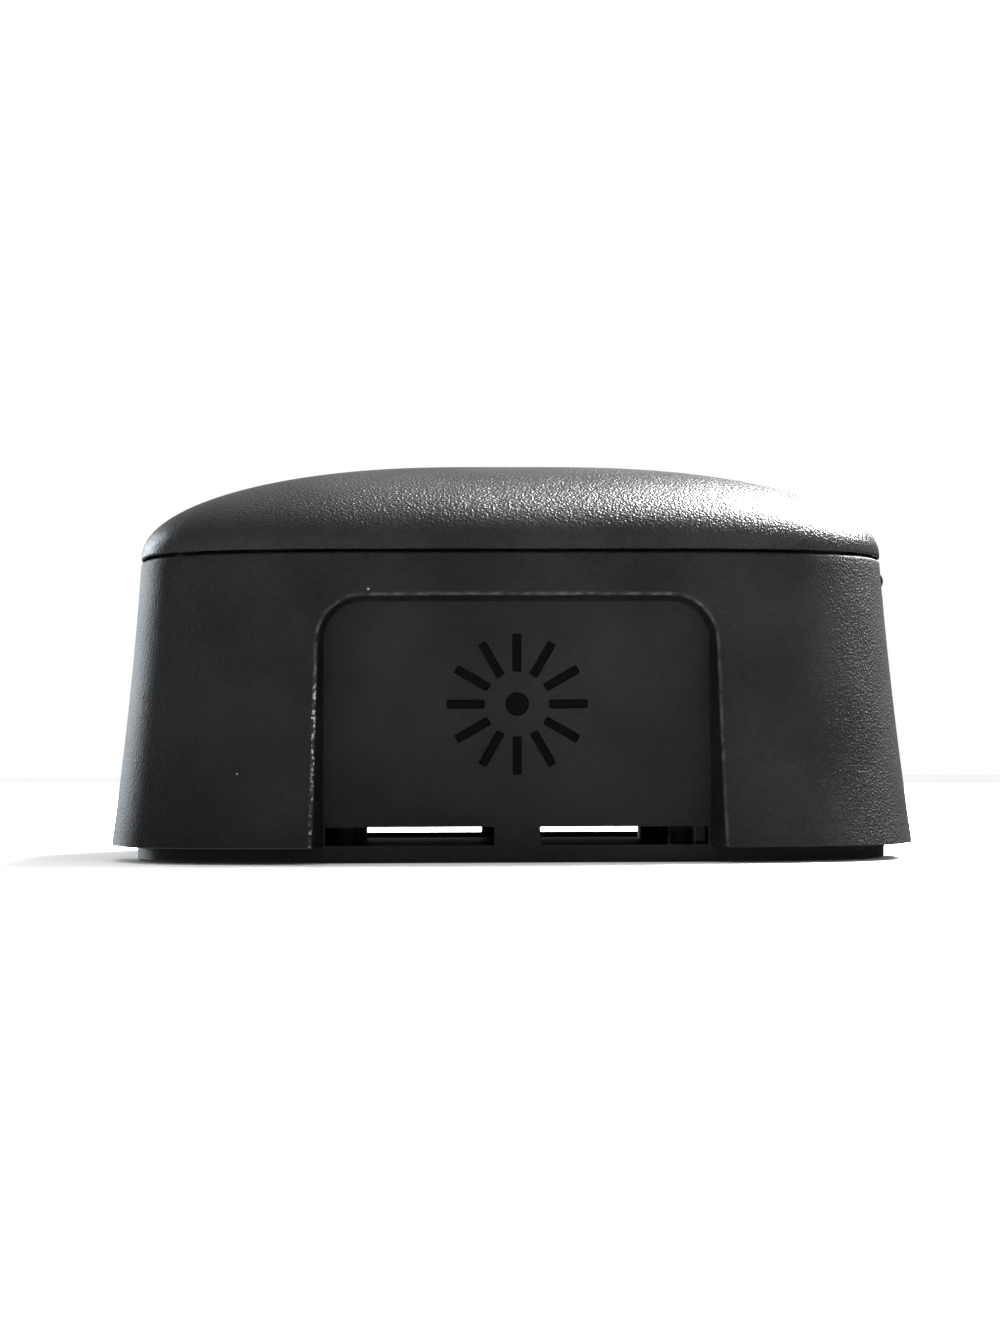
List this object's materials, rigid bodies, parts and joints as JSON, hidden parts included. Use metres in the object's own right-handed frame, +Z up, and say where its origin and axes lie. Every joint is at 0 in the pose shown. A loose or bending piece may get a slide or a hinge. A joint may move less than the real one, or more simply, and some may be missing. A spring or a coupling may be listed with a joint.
{
  "type": "rodent bait station",
  "caption": "Tamper-resistant rodent bait station with a domed hinged lid, a flared shell, end entrances, baffles and a lift-out bait tray.",
  "frame": {"origin": "middle of the base's underside, on the surface that it stands on", "axes": "+Z up; -Y is the front face with the rosette; +X is the hinge side and the width"},
  "size_m": [0.2394, 0.1782, 0.1205],
  "materials": {
    "shell_plastic": "fine moulded grain",
    "lid_plastic": "coarse moulded leather grain",
    "base_plastic": "satin",
    "insert_plastic": "satin",
    "steel": "bright zinc",
    "brass": "turned",
    "bait": "pressed wax block"
  },
  "bodies": {
    "station": {"base": "base_plastic", "outer_shell": "shell_plastic", "left_baffle": "insert_plastic", "right_baffle": "insert_plastic", "hinge_pin": "steel", "base_screw_front_left": "steel", "base_screw_front_right": "steel", "base_screw_back_left": "steel", "base_screw_back_right": "steel"},
    "lid": {"lid": "lid_plastic", "lock_housing": "brass", "lock_nut": "brass"},
    "lock": {"lock_plug": "brass", "lock_cam": "steel", "lock_cam_screw": "steel"},
    "tray": {"bait_tray": "insert_plastic"},
    "rod_left": {"bait_rod_left": "steel", "bait_block_front_left": "bait", "bait_block_back_left": "bait"},
    "rod_right": {"bait_rod_right": "steel", "bait_block_front_right": "bait", "bait_block_back_right": "bait"}
  },
  "joints": [
    {"name": "lid_hinge", "type": "hinge", "parent": "station", "child": "lid", "pos_m": [0.1078, 0, 0.0822], "axis": [0, 1, 0], "range_deg": [0, 95]},
    {"name": "lock_turn", "type": "hinge", "parent": "lid", "child": "lock", "pos_m": [-0.0903, 0, 0.09], "axis": [0, 0, 1], "range_deg": [0, 90]},
    {"name": "tray_lift", "type": "slide", "parent": "station", "child": "tray", "axis": [0, 0, 1], "range_m": [0, 0.02]},
    {"name": "rod_left_lift", "type": "slide", "parent": "tray", "child": "rod_left", "axis": [0, 0, 1], "range_m": [0, 0.02]},
    {"name": "rod_right_lift", "type": "slide", "parent": "tray", "child": "rod_right", "axis": [0, 0, 1], "range_m": [0, 0.02]}
  ]
}
